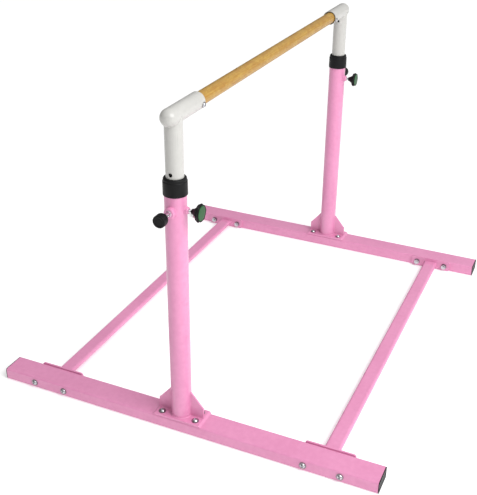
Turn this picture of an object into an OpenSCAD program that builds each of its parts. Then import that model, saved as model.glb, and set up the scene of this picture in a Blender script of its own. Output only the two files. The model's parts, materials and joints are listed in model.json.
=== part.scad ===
// Height-adjustable horizontal training bar on a bolted floor frame.
// Millimetres. +Z up, X along the bar, Y along the floor rails.
// Origin: on the floor, midway between the two uprights. The front is -Y.

/* [Floor frame] */
// Distance between the two upright axes
axis_spacing = 1300; // [1000:10:1600]
// Length of a rail tube, without its end caps
rail_length = 1215; // [950:5:1500]
// Width of a rail
rail_width = 75; // [60:1:100]
// Height of a rail
rail_height = 38; // [32:1:50]
// Wall of a rail
rail_wall = 2; // [1.5:0.5:3]
// Outer corner radius of a rail
rail_corner = 6; // [4:1:10]
// Distance of each cross tube from the upright axis, along the rails
cross_offset = 447; // [300:1:520]
// Width of the flat-oval cross tube
cross_width = 48; // [30:1:60]
// Height of the flat-oval cross tube
cross_height = 16; // [12:1:24]
// Wall of a cross tube
cross_wall = 2; // [1.5:0.5:3]
// Length of a flange plate, along the rail
flange_length = 150; // [140:1:180]
// Height of a flange plate
flange_height = 39; // [30:1:48]
// Thickness of a flange plate
flange_thick = 5; // [3:1:8]
// Half distance between the two bolts of a flange plate
flange_bolt_offset = 53.5; // [45:0.5:60]

/* [Upright feet] */
// Length of a foot plate, along the rail
foot_length = 156; // [140:1:200]
// Thickness of a foot plate
foot_thick = 6; // [4:1:10]
// Distance of the foot bolts from the upright axis, along the rail
foot_bolt_y = 54; // [45:1:65]
// Distance of the foot bolts from the upright axis, across the rail
foot_bolt_x = 20; // [15:1:25]
// Thickness of a gusset
gusset_thick = 5; // [3:1:8]
// Height of a gusset up the tube, above the floor
gusset_top = 125; // [100:1:160]
// Height of a gusset's outer edge, above the floor
gusset_shoulder = 79; // [60:1:95]
// Reach of a gusset from the upright axis
gusset_reach = 72; // [60:1:80]

/* [Uprights and posts] */
// Outer diameter of an upright tube
upright_d = 60; // [52:1:70]
// Wall of an upright tube
upright_wall = 2; // [1.5:0.5:3]
// Top of an upright tube, above the floor
upright_top = 790; // [600:5:900]
// Outer diameter of a post
post_d = 48; // [40:1:50]
// Wall of a post
post_wall = 2; // [1.5:0.5:3]
// Lower end of a post tube at rest, above the floor
post_bottom = 178; // [150:1:190]
// Radial running clearance between a post and its guides
post_gap = 0.3; // [0.2:0.05:0.5]
// Height of the collar, outside
collar_height = 48; // [30:1:60]
// Outer diameter of the collar
collar_d = 65.5; // [62:0.5:80]
// Length of the collar's guide sleeve inside the upright
sleeve_length = 62; // [40:1:65]

/* [Bar] */
// Height of the bar's axis at rest, above the floor
bar_height = 955; // [900:5:1100]
// Diameter of the wooden bar
bar_d = 38; // [30:1:40]
// Distance from the upright axis to a socket's mouth
socket_reach = 130; // [100:1:160]
// Distance from the upright axis to the centre of the socket's domed end
dome_offset = 20; // [10:1:30]
// Depth of the bar inside a socket
bar_seat = 90; // [60:1:110]
// Radial room between the bar and its socket, filled by a liner
liner_room = 3; // [1.5:0.5:5]
// Wall of a socket
socket_wall = 2; // [1.5:0.5:3]
// Distance of the cross screw from the socket's mouth
screw_inset = 9; // [8:1:30]
// Turn of the cross screw below the horizontal
screw_turn = 15; // [0:1:45]

/* [Height locks] */
// Height of the pull pins and clamp screws, above the floor
lock_height = 705; // [550:5:720]
// Distance between two height holes
hole_pitch = 100; // [50:5:120]
// Number of height holes
hole_count = 7; // [4:1:8]
// Diameter of a height hole
hole_d = 11.4; // [8:0.1:14]
// Diameter of the plunger
plunger_d = 10; // [7:0.5:12]
// Travel of the pull pin
pin_travel = 9; // [6:0.5:12]
// Diameter of the clamp stud
stud_d = 8; // [6:1:12]
// Diameter of the pull pin's knob
pin_knob_d = 35; // [28:1:45]
// Diameter of the clamp knob
clamp_knob_d = 52; // [35:1:60]

/* [Fasteners] */
// Diameter of the frame bolts
bolt_d = 10; // [8:1:12]
// Diameter of the socket screws
screw_d = 8; // [6:1:10]

/* [Hidden] */
$fn = 64;

LEFT = -1;
RIGHT = 1;
FRONT = -1;
BACK = 1;

pink = "pink";
grey = "gainsboro";
black = [0.08, 0.08, 0.09];
steel = "silver";
brass = "goldenrod";
green = "darkgreen";
wood = "burlywood";

// fits
fit = 0.05;            // radial clearance of a bolt, a stud or a plunger in its hole
plug_gap = 0.2;        // clearance of a plastic plug in its tube
seat_gap = 0.3;        // gap between pieces that touch but move apart
bolt_hole_gap = 0.3;   // radial clearance of a bolt in a drilled hole
eps = 0.5;             // overrun of a cut past the face it opens

// fastener proportions
washer_t = 2;
washer_d = 2.1 * bolt_d;
bolt_head_d = 1.65 * bolt_d;
bolt_head_h = 0.55 * bolt_d;
nut_across = 1.7 * bolt_d;
nut_h = 0.8 * bolt_d;
bolt_tail = 3;         // length of a bolt beyond its nut
key_across = 0.6 * bolt_d;
hex = 2 / sqrt(3);     // across corners of a hexagon whose flats are 1 apart

// floor frame
rail_x = axis_spacing / 2;
rail_mid_z = rail_height / 2;
cap_lip = 2.5;
cap_depth = 22;
cap_wall = 2.5;
cross_length = axis_spacing - rail_width - 2 * flange_thick;
flange_z = 1.5;        // lower edge of a flange plate
flange_corner = 8;
bolt_r = bolt_d / 2;
bolt_hole_r = bolt_r + bolt_hole_gap;
flange_grip = rail_width + flange_thick;
// every flange bolt on one rail, as [y, z]
flange_spots = [for (end = [FRONT, BACK], hole = [-1, 1])
    [end * cross_offset + hole * flange_bolt_offset, rail_mid_z]];

// feet
foot_z = rail_height;
tube_z = foot_z + foot_thick;
foot_bevel = 6;
gusset_round = 6;
gusset_nose = 3;
rivet_body_r = bolt_r + 1.5;
rivet_flange_r = bolt_r + 4;
rivet_length = 18;
rivet_lip = 1;
// every foot bolt about an upright axis, as [x, y]
foot_spots = [for (x = [-1, 1], y = [-1, 1]) [x * foot_bolt_x, y * foot_bolt_y]];

// uprights and posts
upright_r = upright_d / 2;
upright_bore_r = upright_r - upright_wall;
post_r = post_d / 2;
post_bore_r = post_r - post_wall;
guide_r = post_r + post_gap;
collar_top = upright_top + 4;
collar_base = collar_top - collar_height;
collar_step = 9;       // from the collar's top down to the step round its rim
collar_rim = 1;        // depth of that step
collar_round = 2;      // bevels of the step and of the top edge
plug_flange_r = upright_bore_r - post_gap;
plug_flange_h = 14;
plug_depth = 18;
plug_wall = 3;

// bar
liner_recess = 3;
dome_x = rail_x + dome_offset;
mouth_x = rail_x - socket_reach;
bar_half = mouth_x + bar_seat;
bar_r = bar_d / 2;
socket_bore_r = bar_r + liner_room;
socket_r = socket_bore_r + socket_wall;
screw_r = screw_d / 2;
screw_x = mouth_x + screw_inset;
screw_head_r = 0.875 * screw_d;
screw_head_h = 0.55 * screw_d;
screw_washer_r = screw_d;
screw_washer_t = 1.5;
screw_length = 28;     // under the head
screw_seat = socket_r + screw_washer_t;
screw_key_across = 0.6 * screw_d;
vent_r = 4;
vent_drop = 9;         // from the socket's lowest line down to the vent hole's centre

// pull pin, by distance from the upright axis
plunger_r = plunger_d / 2;
pin_boss_r = plunger_d + 5;
pin_boss_end = upright_r + 10;
pin_boss_bevel = 2;
housing_r = plunger_r + 3;
neck_r = housing_r - 1;
neck_bevel = 1;
housing_start = upright_bore_r + 0.5;
guide_end = pin_boss_end + 2;
chamber_r = neck_r - 1.1;
rod_r = 0.3 * plunger_d;
tip_start = post_bore_r - 3;
tip_bevel = 1.5;
shoulder_start = guide_end + seat_gap;
shoulder_t = 2;
shoulder_r = chamber_r - 0.2;
spring_wire_r = 0.45;
spring_r = rod_r + 1.1;
spring_turns = 5;
spring_sides = 6;      // of the wire's section
spring_steps = 14;     // sections to a turn
spring_start = shoulder_start + shoulder_t;
spring_solid = 2 * spring_wire_r * (spring_turns + 1);
chamber_end = spring_start + pin_travel + spring_solid + seat_gap;
housing_end = chamber_end + 3;
pin_knob_start = housing_end + seat_gap;
pin_knob_length = 30;
pin_knob_waist = 6;    // how much smaller the knob is where it meets the housing
pin_knob_flare = 9;    // length over which it widens to its full size
pin_knob_edge = 3;
pin_knob_rim = 2;      // width of the rim round the end face
pin_knob_dish = 1;     // depth of the end face below the rim
rod_seat = 20;         // depth of the rod inside the knob

// clamp screw, by distance from the upright axis
stud_r = stud_d / 2;
clamp_boss_r = stud_r + 6;
clamp_boss_nose_r = stud_r + 3.5;
clamp_boss_nose = 4;
clamp_boss_end = upright_r + 9;
pad_start = post_r + seat_gap;
pad_r = stud_r - 0.6;
pad_t = 4;
pad_stem_r = 1.5;
pad_stem_length = 4;
stud_start = pad_start + pad_t + fit;
hub_start = clamp_boss_end + 8;
head_start = hub_start + 17;
head_t = 11;
disc_r = 0.39 * clamp_knob_d;
disc_depth = 2;        // of the cap inside the knob's face
disc_rise = 1.5;       // of the cap above the face
disc_bevel = 1;
hub_r = stud_r + 3;
hub_end_r = 0.3 * clamp_knob_d;
knob_lobes = 6;
flute_r = 7;
flute_offset = 3.15;   // from the head's rim out to the centre of a flute
stud_seat = 24;        // depth of the stud inside the knob

// rectangle with round corners, centred
module round_rect(w, h, r) {
    square([w - 2 * r, h], center = true);
    square([w, h - 2 * r], center = true);
    for (x = [-1, 1], y = [-1, 1]) translate([x * (w / 2 - r), y * (h / 2 - r)]) circle(r);
}

// flat-oval outline, centred, w along the first axis
module flat_oval(w, h) {
    square([w - h, h], center = true);
    for (x = [-1, 1]) translate([x * (w - h) / 2, 0]) circle(h / 2);
}

// lays a shape made along +Z so that it runs along +X (side 1) or -X (side -1)
module along_x(side) {
    rotate([0, 90 * side, 0]) children();
}

// lays a shape made along +Z so that it runs along -Y
module along_front() {
    rotate([90, 0, 0]) children();
}

// puts a shape on one upright's axis, at floor level
module at_upright(side) {
    translate([side * rail_x, 0, 0]) children();
}

// ring between two radii, from z0 to z1
module ring(r_in, r_out, z0, z1) {
    translate([0, 0, z0]) difference() {
        cylinder(r = r_out, h = z1 - z0);
        translate([0, 0, -eps]) cylinder(r = r_in, h = z1 - z0 + 2 * eps);
    }
}

// domed bolt: head dome on z = 0 pointing up, shank down
module dome_bolt(r, head_r, head_h, shank, key) {
    ball_r = (head_r * head_r + head_h * head_h) / (2 * head_h);
    difference() {
        union() {
            intersection() {
                translate([0, 0, head_h - ball_r]) sphere(ball_r);
                cylinder(r = head_r, h = head_h);
            }
            translate([0, 0, -shank]) cylinder(r = r, h = shank + head_h / 2);
        }
        translate([0, 0, head_h / 2]) cylinder(d = key * hex, h = head_h, $fn = 6);
    }
}

module hex_nut(across, h, bore_r) {
    difference() {
        cylinder(d = across * hex, h = h, $fn = 6);
        translate([0, 0, -eps]) cylinder(r = bore_r, h = h + 2 * eps);
    }
}

// mirrors a shape to the front (-1) or leaves it at the back (1)
module facing(end) {
    if (end < 0) mirror([0, 1, 0]) children();
    else children();
}

module rail(side) {
    color(pink) at_upright(side) difference() {
        translate([0, 0, rail_mid_z]) rotate([90, 0, 0]) linear_extrude(rail_length, center = true)
            difference() {
                round_rect(rail_width, rail_height, rail_corner);
                round_rect(rail_width - 2 * rail_wall, rail_height - 2 * rail_wall,
                    rail_corner - rail_wall);
            }
        for (s = flange_spots) translate([-rail_width, s[0], s[1]])
            rotate([0, 90, 0]) cylinder(r = bolt_hole_r, h = 2 * rail_width);
        for (s = foot_spots) translate([s[0], s[1], rail_mid_z])
            cylinder(r = rivet_body_r + fit, h = rail_height);
    }
}

module end_cap(side, end) {
    plug_w = rail_width - 2 * rail_wall - 2 * plug_gap;
    plug_h = rail_height - 2 * rail_wall - 2 * plug_gap;
    color(black) translate([side * rail_x, end * rail_length / 2, rail_mid_z])
        rotate([-90 * end, 0, 0]) {
            linear_extrude(cap_lip) round_rect(rail_width, rail_height, rail_corner);
            translate([0, 0, -cap_depth]) linear_extrude(cap_depth) difference() {
                round_rect(plug_w, plug_h, rail_corner - rail_wall);
                round_rect(plug_w - 2 * cap_wall, plug_h - 2 * cap_wall, 1);
            }
        }
}

module cross_tube(end) {
    color(pink) translate([0, end * cross_offset, rail_mid_z]) rotate([90, 0, 90])
        linear_extrude(cross_length, center = true) difference() {
            flat_oval(cross_width, cross_height);
            flat_oval(cross_width - 2 * cross_wall, cross_height - 2 * cross_wall);
        }
}

module flange(end, side) {
    inner_x = rail_x - rail_width / 2 - flange_thick;
    color(pink) translate([side > 0 ? inner_x : -inner_x - flange_thick, end * cross_offset, 0])
        difference() {
            translate([0, 0, flange_z + flange_height / 2]) rotate([90, 0, 90])
                linear_extrude(flange_thick) round_rect(flange_length, flange_height, flange_corner);
            for (hole = [-1, 1]) translate([-eps, hole * flange_bolt_offset, rail_mid_z])
                rotate([0, 90, 0]) cylinder(r = bolt_hole_r, h = flange_thick + 2 * eps);
        }
}

// a shape at every flange bolt, z = 0 on the rail's outer face, +Z pointing outwards
module at_flange_bolts() {
    for (side = [LEFT, RIGHT], s = flange_spots)
        translate([side * (rail_x + rail_width / 2), s[0], s[1]]) along_x(side) children();
}

module flange_bolts() {
    shank = flange_grip + 2 * washer_t + nut_h + bolt_tail;
    color(steel) at_flange_bolts() translate([0, 0, washer_t])
        dome_bolt(bolt_r, bolt_head_d / 2, bolt_head_h, shank, key_across);
}

// one under the head and one under the nut
module flange_washers() {
    color(steel) at_flange_bolts() for (z = [0, -flange_grip - washer_t])
        ring(bolt_r + fit, washer_d / 2, z, z + washer_t);
}

module flange_nuts() {
    color(steel) at_flange_bolts() translate([0, 0, -flange_grip - washer_t - nut_h])
        hex_nut(nut_across, nut_h, bolt_r + fit);
}

module foot_plate(side) {
    half = foot_length / 2;
    color(pink) at_upright(side) difference() {
        translate([0, 0, foot_z]) rotate([90, 0, 90]) linear_extrude(rail_width, center = true)
            polygon([[-half, 0], [-half + foot_bevel, foot_thick],
                [half - foot_bevel, foot_thick], [half, 0]]);
        for (s = foot_spots) translate([s[0], s[1], foot_z - eps])
            cylinder(r = bolt_hole_r, h = foot_thick + 2 * eps);
    }
}

module gusset(side, end) {
    color(pink) at_upright(side) facing(end) rotate([90, 0, 90])
        linear_extrude(gusset_thick, center = true)
            polygon([[upright_r, tube_z], [gusset_reach, tube_z], [gusset_reach, gusset_shoulder],
                [gusset_reach - gusset_round, gusset_shoulder + gusset_round],
                [upright_r + gusset_nose, gusset_top], [upright_r, gusset_top]]);
}

// a shape at every foot bolt, z = 0 on the foot plate's top
module at_foot_bolts() {
    for (side = [LEFT, RIGHT], s = foot_spots)
        translate([side * rail_x + s[0], s[1], tube_z]) children();
}

module foot_bolts() {
    shank = washer_t + rivet_length;
    color(steel) at_foot_bolts() translate([0, 0, washer_t])
        dome_bolt(bolt_r, bolt_head_d / 2, bolt_head_h, shank, key_across);
}

module foot_washers() {
    color(steel) at_foot_bolts() ring(bolt_r + fit, washer_d / 2, 0, washer_t);
}

// flanged rivet nuts drawn up under the rail's top wall
module foot_rivet_nuts() {
    color(steel) at_foot_bolts() translate([0, 0, -foot_thick]) {
        ring(bolt_r + fit, rivet_body_r, -rivet_length, 0);
        ring(rivet_body_r, rivet_flange_r, -rail_wall - rivet_lip, -rail_wall);
    }
}

module upright(side) {
    color(pink) at_upright(side) difference() {
        ring(upright_bore_r, upright_r, tube_z, upright_top);
        translate([0, 0, lock_height]) {
            along_x(side) cylinder(r = housing_r + fit, h = upright_d);
            along_front() cylinder(r = stud_r + fit, h = upright_d);
        }
    }
}

// cap over the upright's top edge, with a guide sleeve down the inside
module collar(side) {
    skirt_r = upright_r + fit;
    sleeve_r = upright_bore_r - fit;
    sleeve_base = upright_top - sleeve_length;
    rim_r = collar_d / 2 - collar_rim;
    step_z = collar_top - collar_step;
    color(black) at_upright(side) rotate_extrude() polygon([
        [guide_r, sleeve_base], [sleeve_r, sleeve_base], [sleeve_r, upright_top],
        [skirt_r, upright_top], [skirt_r, collar_base], [collar_d / 2, collar_base],
        [collar_d / 2, step_z], [rim_r, step_z + collar_round], [rim_r, collar_top - collar_round],
        [rim_r - collar_round, collar_top], [guide_r, collar_top]]);
}

// puts a shape on the pull pin's axis, +Z pointing outwards from the upright axis
module on_pin_axis(side) {
    at_upright(side) translate([0, 0, lock_height]) along_x(side) children();
}

// the same for the clamp screw, which points to the front
module on_clamp_axis(side) {
    at_upright(side) translate([0, 0, lock_height]) along_front() children();
}

// takes the upright's outside off a boss that is welded on it
module saddled(side) {
    difference() {
        children();
        at_upright(side) translate([0, 0, lock_height]) cylinder(r = upright_r, h = upright_d, center = true);
    }
}

module pin_boss(side) {
    color(pink) saddled(side) on_pin_axis(side) difference() {
        union() {
            cylinder(r = pin_boss_r, h = pin_boss_end - pin_boss_bevel);
            translate([0, 0, pin_boss_end - pin_boss_bevel])
                cylinder(r1 = pin_boss_r, r2 = pin_boss_r - pin_boss_bevel, h = pin_boss_bevel);
        }
        translate([0, 0, -eps]) cylinder(r = housing_r + fit, h = pin_boss_end + 2 * eps);
    }
}

// threaded housing: plunger guide at the inner end, spring chamber, rod guide at the outer end
module pin_housing(side) {
    color(steel) on_pin_axis(side) rotate_extrude() polygon([
        [plunger_r + fit, housing_start], [housing_r, housing_start], [housing_r, pin_boss_end],
        [neck_r, pin_boss_end + neck_bevel], [neck_r, housing_end - neck_bevel],
        [neck_r - neck_bevel, housing_end],
        [rod_r + fit, housing_end], [rod_r + fit, chamber_end], [chamber_r, chamber_end],
        [chamber_r, guide_end], [plunger_r + fit, guide_end]]);
}

// plunger with a bevelled tip, the shoulder that the spring pushes, and the pull rod
module pin_plunger(side) {
    color(steel) on_pin_axis(side) rotate_extrude() polygon([
        [0, tip_start], [plunger_r - tip_bevel, tip_start], [plunger_r, tip_start + tip_bevel],
        [plunger_r, shoulder_start], [shoulder_r, shoulder_start],
        [shoulder_r, shoulder_start + shoulder_t], [rod_r, shoulder_start + shoulder_t],
        [rod_r, pin_knob_start + rod_seat], [0, pin_knob_start + rod_seat]]);
}

module pin_knob(side) {
    r = pin_knob_d / 2;
    rim_r = r - pin_knob_edge - pin_knob_rim;
    face = pin_knob_length - pin_knob_dish;
    color(black) on_pin_axis(side) translate([0, 0, pin_knob_start]) rotate_extrude() polygon([
        [rod_r + fit, 0], [r - pin_knob_waist, 0],
        [r - pin_knob_waist / 3, pin_knob_flare / 2], [r, pin_knob_flare],
        [r, pin_knob_length - pin_knob_edge], [r - pin_knob_edge, pin_knob_length],
        [rim_r, pin_knob_length], [rim_r - pin_knob_dish, face], [0, face],
        [0, rod_seat + fit], [rod_r + fit, rod_seat + fit]]);
}

// points of a helix about +Z: u runs from 0 to 1 along its length
function helix_point(u, turns, r, z0, z1) =
    [r * cos(360 * turns * u), r * sin(360 * turns * u), z0 + (z1 - z0) * u];

// one wire section of the helix: a circle in the plane of the axis and the point
function wire_ring(u, turns, r, z0, z1, wire_r, sides) = [for (k = [0 : sides - 1])
    let (a = 360 * k / sides, c = helix_point(u, turns, r, z0, z1), t = 360 * turns * u)
    [c[0] + wire_r * cos(a) * cos(t), c[1] + wire_r * cos(a) * sin(t), c[2] + wire_r * sin(a)]];

module coil_spring(turns, r, z0, z1, wire_r) {
    sides = spring_sides;
    steps = turns * spring_steps;
    points = [for (i = [0 : steps]) each
        wire_ring(i / steps, turns, r, z0 + wire_r, z1 - wire_r, wire_r, sides)];
    walls = [for (i = [0 : steps - 1], k = [0 : sides - 1])
        let (a = i * sides + k, b = i * sides + (k + 1) % sides) [a, a + sides, b + sides, b]];
    ends = [[for (k = [0 : sides - 1]) k],
        [for (k = [sides - 1 : -1 : 0]) steps * sides + k]];
    polyhedron(points, concat(walls, ends));
}

module pin_spring(side) {
    color(steel) on_pin_axis(side)
        coil_spring(spring_turns, spring_r, spring_start + fit, chamber_end - fit, spring_wire_r);
}

module clamp_boss(side) {
    nose_start = clamp_boss_end - clamp_boss_nose;
    color(pink) saddled(side) on_clamp_axis(side) difference() {
        union() {
            cylinder(r = clamp_boss_r, h = nose_start);
            translate([0, 0, nose_start])
                cylinder(r1 = clamp_boss_r, r2 = clamp_boss_nose_r, h = clamp_boss_nose);
        }
        translate([0, 0, -eps]) cylinder(r = stud_r + fit, h = clamp_boss_end + 2 * eps);
    }
}

// pressure pad: it slides with the stud's tip and doesn't turn
module clamp_pad(side) {
    color(brass) on_clamp_axis(side) {
        translate([0, 0, pad_start]) cylinder(r = pad_r, h = pad_t);
        translate([0, 0, pad_start]) cylinder(r = pad_stem_r, h = pad_t + pad_stem_length);
    }
}

module clamp_stud(side) {
    stem_bore = pad_stem_length + 2 * fit;
    color(steel) on_clamp_axis(side) difference() {
        translate([0, 0, stud_start]) cylinder(r = stud_r, h = hub_start + stud_seat - stud_start);
        translate([0, 0, stud_start - eps]) cylinder(r = pad_stem_r + fit, h = stem_bore + eps);
    }
}

// lobed knob on a conical hub, with a round recess in its face
module clamp_knob(side) {
    r = clamp_knob_d / 2;
    color(black) on_clamp_axis(side) difference() {
        union() {
            translate([0, 0, hub_start]) cylinder(r1 = hub_r, r2 = hub_end_r, h = head_start - hub_start);
            difference() {
                translate([0, 0, head_start]) cylinder(r = r, h = head_t);
                for (k = [0 : knob_lobes - 1]) rotate(360 * k / knob_lobes)
                    translate([r + flute_offset, 0, head_start - eps])
                        cylinder(r = flute_r, h = head_t + 2 * eps);
            }
        }
        translate([0, 0, head_start + head_t - disc_depth]) cylinder(r = disc_r + fit, h = disc_depth + eps);
        translate([0, 0, hub_start - eps]) cylinder(r = stud_r + fit, h = stud_seat + eps + fit);
    }
}

// round cap in the clamp knob's face
module clamp_cap(side) {
    straight = disc_depth + disc_rise - disc_bevel;
    color(green) on_clamp_axis(side) translate([0, 0, head_start + head_t - disc_depth]) {
        cylinder(r = disc_r, h = straight);
        translate([0, 0, straight]) cylinder(r1 = disc_r, r2 = disc_r - disc_bevel, h = disc_bevel);
    }
}

// the socket's outside on the bar's axis, used to cut the post's top to fit
module socket_outside(side) {
    translate([side * dome_x, 0, bar_height]) {
        sphere(socket_r);
        along_x(-side) cylinder(r = socket_r, h = dome_x - mouth_x);
    }
}

module post(side) {
    color(grey) difference() {
        at_upright(side) difference() {
            ring(post_bore_r, post_r, post_bottom, bar_height);
            for (k = [0 : hole_count - 1])
                translate([0, 0, lock_height + hole_pitch * (1 - k)]) along_x(side)
                    cylinder(d = hole_d, h = post_d);
            translate([0, 0, bar_height - socket_r - vent_drop]) along_x(-side)
                cylinder(r = vent_r, h = post_d);
        }
        socket_outside(side);
    }
}

// plug in the post's lower end, with a flange that runs in the upright's bore
module post_foot(side) {
    plug_r = post_bore_r - fit;
    color(black) at_upright(side) difference() {
        union() {
            translate([0, 0, post_bottom - plug_flange_h]) cylinder(r = plug_flange_r, h = plug_flange_h);
            translate([0, 0, post_bottom - fit]) cylinder(r = plug_r, h = plug_depth);
        }
        translate([0, 0, post_bottom - plug_flange_h - eps])
            cylinder(r = plug_r - plug_wall, h = plug_flange_h + plug_depth + 2 * eps);
    }
}

module elbow(side) {
    color(grey) difference() {
        socket_outside(side);
        translate([side * dome_x, 0, bar_height]) {
            sphere(socket_bore_r);
            along_x(-side) cylinder(r = socket_bore_r, h = dome_x);
        }
        at_socket_screw(side) cylinder(r = screw_r + bolt_hole_gap, h = 2 * socket_r);
    }
}

// puts a shape on a cross screw's axis, z = 0 on the bar's axis, +Z towards the screw's head
module at_socket_screw(side) {
    translate([side * screw_x, 0, bar_height]) rotate([90 + screw_turn, 0, 0]) children();
}

// dark liner between the bar and the socket, set back from the socket's mouth
module bar_liner(side) {
    length = bar_seat - liner_recess;
    color(black) difference() {
        translate([side * (mouth_x + liner_recess), 0, bar_height]) along_x(side)
            ring(bar_r + fit, socket_bore_r - fit, 0, length);
        at_socket_screw(side) cylinder(r = screw_r + bolt_hole_gap, h = 2 * socket_r);
    }
}

module bar() {
    color(wood) difference() {
        translate([-bar_half, 0, bar_height]) rotate([0, 90, 0]) cylinder(r = bar_r, h = 2 * bar_half);
        for (side = [LEFT, RIGHT]) at_socket_screw(side)
            translate([0, 0, screw_seat - screw_length - fit])
                cylinder(r = screw_r + fit, h = screw_length);
    }
}

// screws that end inside the bar's wood
module socket_screws() {
    color(steel) for (side = [LEFT, RIGHT]) at_socket_screw(side) translate([0, 0, screw_seat])
        dome_bolt(screw_r, screw_head_r, screw_head_h, screw_length, screw_key_across);
}

module socket_washers() {
    color(steel) for (side = [LEFT, RIGHT]) at_socket_screw(side)
        ring(screw_r + fit, screw_washer_r, socket_r, screw_seat);
}

rail(LEFT);  // left_rail
rail(RIGHT);  // right_rail
end_cap(LEFT, FRONT);  // left_front_end_cap
end_cap(LEFT, BACK);  // left_back_end_cap
end_cap(RIGHT, FRONT);  // right_front_end_cap
end_cap(RIGHT, BACK);  // right_back_end_cap
cross_tube(FRONT);  // front_cross_tube
cross_tube(BACK);  // back_cross_tube
flange(FRONT, LEFT);  // front_left_flange
flange(FRONT, RIGHT);  // front_right_flange
flange(BACK, LEFT);  // back_left_flange
flange(BACK, RIGHT);  // back_right_flange
flange_bolts();
flange_washers();
flange_nuts();
foot_plate(LEFT);  // left_foot_plate
foot_plate(RIGHT);  // right_foot_plate
gusset(LEFT, FRONT);  // left_front_gusset
gusset(LEFT, BACK);  // left_back_gusset
gusset(RIGHT, FRONT);  // right_front_gusset
gusset(RIGHT, BACK);  // right_back_gusset
foot_bolts();
foot_washers();
foot_rivet_nuts();
upright(LEFT);  // left_upright
upright(RIGHT);  // right_upright
collar(LEFT);  // left_collar
collar(RIGHT);  // right_collar
pin_boss(LEFT);  // left_pin_boss
pin_boss(RIGHT);  // right_pin_boss
pin_housing(LEFT);  // left_pin_housing
pin_housing(RIGHT);  // right_pin_housing
pin_spring(LEFT);  // left_pin_spring
pin_spring(RIGHT);  // right_pin_spring
clamp_boss(LEFT);  // left_clamp_boss
clamp_boss(RIGHT);  // right_clamp_boss
post(LEFT);  // left_post
post(RIGHT);  // right_post
post_foot(LEFT);  // left_post_foot
post_foot(RIGHT);  // right_post_foot
elbow(LEFT);  // left_elbow
elbow(RIGHT);  // right_elbow
bar_liner(LEFT);  // left_bar_liner
bar_liner(RIGHT);  // right_bar_liner
bar();
socket_screws();
socket_washers();
pin_plunger(LEFT);  // left_pin_plunger
pin_plunger(RIGHT);  // right_pin_plunger
pin_knob(LEFT);  // left_pin_knob
pin_knob(RIGHT);  // right_pin_knob
clamp_pad(LEFT);  // left_clamp_pad
clamp_pad(RIGHT);  // right_clamp_pad
clamp_stud(LEFT);  // left_clamp_stud
clamp_stud(RIGHT);  // right_clamp_stud
clamp_knob(LEFT);  // left_clamp_knob
clamp_knob(RIGHT);  // right_clamp_knob
clamp_cap(LEFT);  // left_clamp_cap
clamp_cap(RIGHT);  // right_clamp_cap
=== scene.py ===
# %% [markdown]
# # A height-adjustable training bar
# A wooden bar is held by two telescopic posts, which stand on a bolted steel floor frame.
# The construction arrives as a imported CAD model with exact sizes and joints, so this notebook
# makes no frame of its own: it dresses that one. Each step says what the real piece is, how it
# could be made in Blender and why this way was chosen.

# %% Load the frame
import json
import math

import bmesh
import bpy
import numpy as np
from mathutils import Matrix, Vector


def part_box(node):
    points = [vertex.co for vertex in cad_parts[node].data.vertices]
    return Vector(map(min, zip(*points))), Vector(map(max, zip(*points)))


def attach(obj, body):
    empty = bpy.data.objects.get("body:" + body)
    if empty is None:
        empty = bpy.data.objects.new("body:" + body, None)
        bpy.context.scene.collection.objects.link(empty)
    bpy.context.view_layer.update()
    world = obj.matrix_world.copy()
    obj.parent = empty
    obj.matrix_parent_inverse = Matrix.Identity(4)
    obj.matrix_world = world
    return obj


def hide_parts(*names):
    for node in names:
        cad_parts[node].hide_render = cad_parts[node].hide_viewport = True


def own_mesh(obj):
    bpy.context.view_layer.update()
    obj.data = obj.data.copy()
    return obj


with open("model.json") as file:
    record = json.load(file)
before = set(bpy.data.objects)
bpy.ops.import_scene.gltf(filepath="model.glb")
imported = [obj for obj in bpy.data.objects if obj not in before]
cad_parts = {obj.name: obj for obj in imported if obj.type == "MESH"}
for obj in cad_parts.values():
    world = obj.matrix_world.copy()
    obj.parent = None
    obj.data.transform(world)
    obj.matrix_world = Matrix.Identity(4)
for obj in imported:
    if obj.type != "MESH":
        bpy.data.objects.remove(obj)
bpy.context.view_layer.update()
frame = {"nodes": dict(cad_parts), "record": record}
nodes = frame["nodes"]

# %% [markdown]
# ## Measures
# Places come from the CAD nodes' own boxes, so that nothing is measured twice and a changed
# frame carries its new pieces along. Only the small sizes that a CAD box can't tell, such as a
# weld bead's width, are written as numbers, next to the piece that they belong to. Everything
# is in metres, and MM turns a size in millimetres into metres.

# %% Read the places of the main parts
MM = 0.001
SIDES = {"left": -1, "right": 1}
ENDS = {"front": -1, "back": 1}


def middle(node):
    """Centre of a CAD node's box: half of its lowest plus its highest corner."""
    low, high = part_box(node)
    return (low + high) / 2


def half(node, axis):
    """Half of a CAD node's width along x, y or z, which is the radius of a round node."""
    low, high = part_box(node)
    return (getattr(high, axis) - getattr(low, axis)) / 2


axis_x = middle("right_upright").x
upright_r = half("right_upright", "y")
plate_top, upright_top = [corner.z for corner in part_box("right_upright")]
post_r = half("right_post", "y")
lock_z = middle("right_pin_boss").z
bar_z = middle("bar").z
print("upright axis", round(axis_x, 4), "bar height", round(bar_z, 4), "lock height", round(lock_z, 4))

# %% [markdown]
# ## Building surfaces from grids
# Every new piece is a surface of two parameters, worked out by numpy as one array of points
# with m rows and n columns. Quads join the neighbours. Joining the last column to the first
# closes a round piece, and a row that shrinks to one point closes its end. Modelling by hand
# would give the same shapes, but a formula states the size of each feature and can be changed.

# %% From a grid of points to an object
MERGE = 1e-6


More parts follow.
